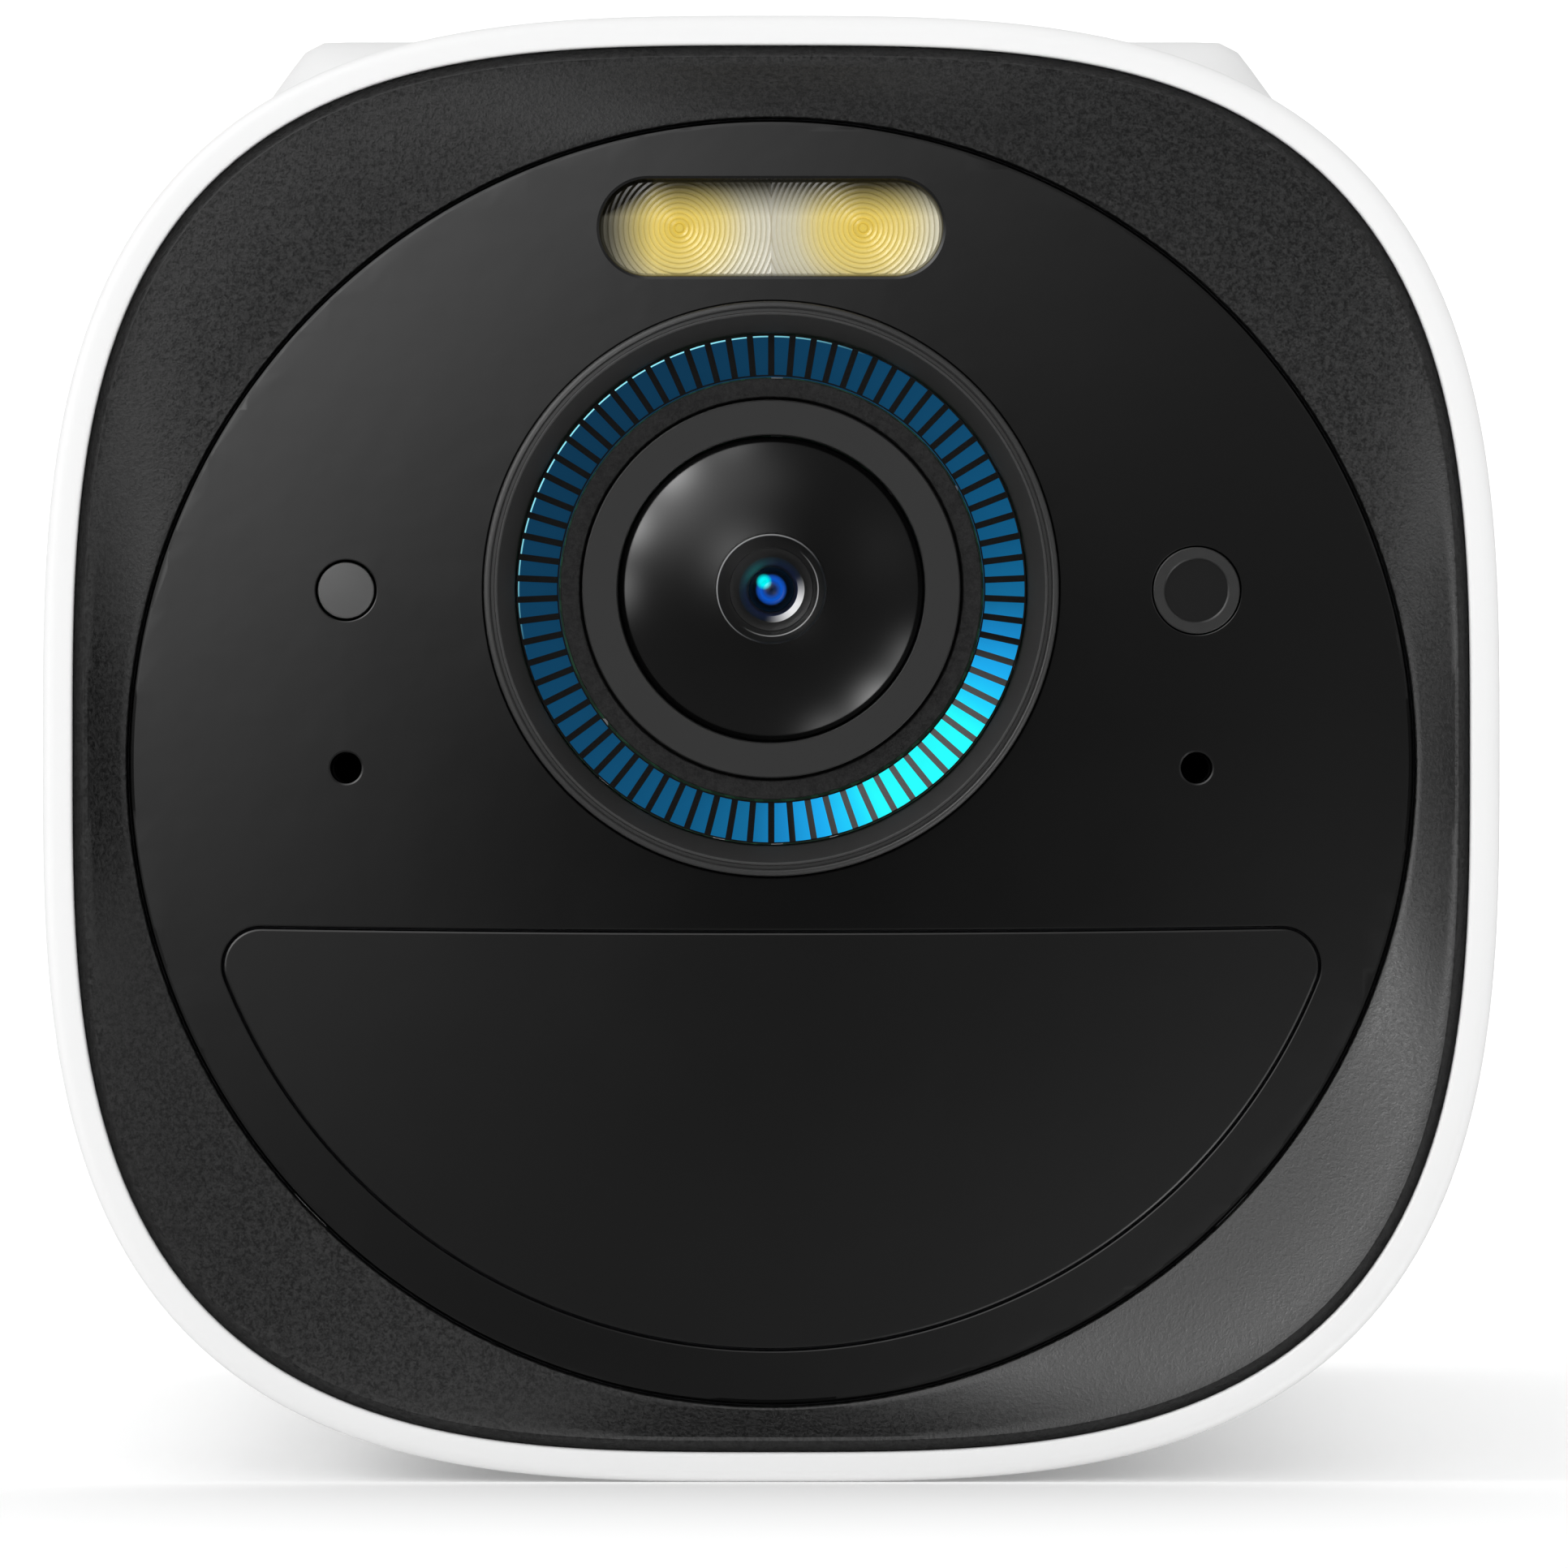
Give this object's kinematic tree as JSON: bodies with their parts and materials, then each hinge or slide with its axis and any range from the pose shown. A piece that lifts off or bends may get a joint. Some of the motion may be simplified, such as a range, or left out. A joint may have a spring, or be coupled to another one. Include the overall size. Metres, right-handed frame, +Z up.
{
  "type": "security camera with spotlight",
  "caption": "Compact battery security camera: rounded-square white shell, dished black bezel, round gloss panel with lit lens ring, spotlight, motion window, solar deck and rear charge port.",
  "frame": {"origin": "on the ground under the middle of the camera, which stands on its rounded underside", "axes": "+Y runs from the lens to the rear face, so the camera looks along -Y; +Z is up; +X is to the right as seen from the front"},
  "size_m": [0.062, 0.126, 0.0626],
  "materials": {
    "white_shell": "fine satin white",
    "seal_rubber": "matte",
    "solar_edge_seal": "matte",
    "screw_steel": "plain",
    "textured_bezel": "fine spark-eroded texture",
    "gloss_black": "polished",
    "carrier_plastic": "plain",
    "solar_glass": "clear over dark cells",
    "solar_silicon": "dark blue cells with fine lines",
    "wire": "insulated wire",
    "lamp_lens": "fine concentric grooves",
    "reflector": "metallised",
    "lamp_chip": "phosphor yellow",
    "white_board": "white solder mask",
    "light_guide": "deep blue translucent light guide",
    "mask_black": "printed black",
    "blue_chip": "clear blue",
    "infrared_chip": "dark clear",
    "circuit_board": "green solder mask",
    "texture_black": "fine grain",
    "infrared_window": "smooth dark grey",
    "lens_glass": "coated",
    "blue_coated_glass": "blue coating",
    "filter_glass": "coated",
    "lens_metal": "black anodised",
    "stop_black": "stepped, dead matte",
    "lever_magnet": "bonded magnet",
    "copper_winding": "varnished copper wire",
    "silicon": "sensor die under glass",
    "grey_diffuser": "translucent grey",
    "can_metal": "tin plated",
    "cell_wrap": "shrink wrapped cell",
    "speaker_frame": "plain",
    "switch_plastic": "plain",
    "plunger_red": "plain",
    "insert_brass": "turned"
  },
  "bodies": {
    "camera": {"housing": "white_shell", "rear_cover": "white_shell", "rear_gasket": "seal_rubber", "rear_screws": "screw_steel", "front_bezel": "textured_bezel", "front_panel": "gloss_black", "front_carrier": "carrier_plastic", "front_gasket": "seal_rubber", "front_screws": "screw_steel", "solar_glass": "solar_glass", "solar_cells": "solar_silicon", "solar_seal": "solar_edge_seal", "solar_lead": "wire", "spotlight_lens": "lamp_lens", "spotlight_reflector": "reflector", "spotlight_leds": "lamp_chip", "spotlight_board": "white_board", "lens_bezel": "gloss_black", "light_ring": "light_guide", "light_ring_mask": "mask_black", "light_ring_leds": "blue_chip", "ring_board": "circuit_board", "texture_ring": "texture_black", "ir_window": "infrared_window", "ir_leds": "infrared_chip", "lens_dome": "lens_glass", "lens_barrel": "lens_metal", "lens_stop": "stop_black", "lens_elements": "blue_coated_glass", "lens_holder": "carrier_plastic", "ir_cut_housing": "carrier_plastic", "ir_coil": "copper_winding", "image_sensor": "silicon", "sensor_board": "circuit_board", "light_sensor_window": "grey_diffuser", "status_ring": "infrared_window", "side_boards": "circuit_board", "microphones": "can_metal", "mic_gaskets": "seal_rubber", "pir_window": "gloss_black", "pir_shroud": "carrier_plastic", "pir_sensor": "can_metal", "pir_board": "circuit_board", "battery_cells": "cell_wrap", "battery_cradle": "carrier_plastic", "battery_tabs": "can_metal", "main_board": "circuit_board", "board_parts": "can_metal", "board_screws": "screw_steel", "speaker": "speaker_frame", "usb_socket": "can_metal", "port_board": "circuit_board", "switch_body": "switch_plastic", "mount_insert": "insert_brass"},
    "sync_button_body": {"sync_button": "white_shell", "switch_plunger": "plunger_red"},
    "port_flap": {"port_cover": "white_shell"},
    "ir_filter": {"ir_filter_carrier": "carrier_plastic", "ir_filter_glass": "filter_glass"},
    "filter_lever": {"ir_lever": "lever_magnet"}
  },
  "joints": [
    {"name": "sync_button_press", "type": "slide", "parent": "camera", "child": "sync_button_body", "axis": [0, -1, 0], "range_m": [0, 0.0006], "stiffness_N_per_m": 400, "springref_m": -0.0005},
    {"name": "port_cover_hinge", "type": "hinge", "parent": "camera", "child": "port_flap", "pos_m": [0, 0.062, 0.0125], "axis": [-1, 0, 0], "range_deg": [0, 110]},
    {"name": "ir_filter_slide", "type": "slide", "parent": "camera", "child": "ir_filter", "axis": [1, 0, 0], "range_m": [0, 0.005]},
    {"name": "ir_lever_swing", "type": "hinge", "parent": "camera", "child": "filter_lever", "pos_m": [0, -0.03, 0.02659], "axis": [0, 1, 0], "range_deg": [0, 44.05]}
  ],
  "couplings": [
    {"joint": "ir_lever_swing", "follows": "ir_filter_slide", "rad_per_m": 153.59}
  ]
}
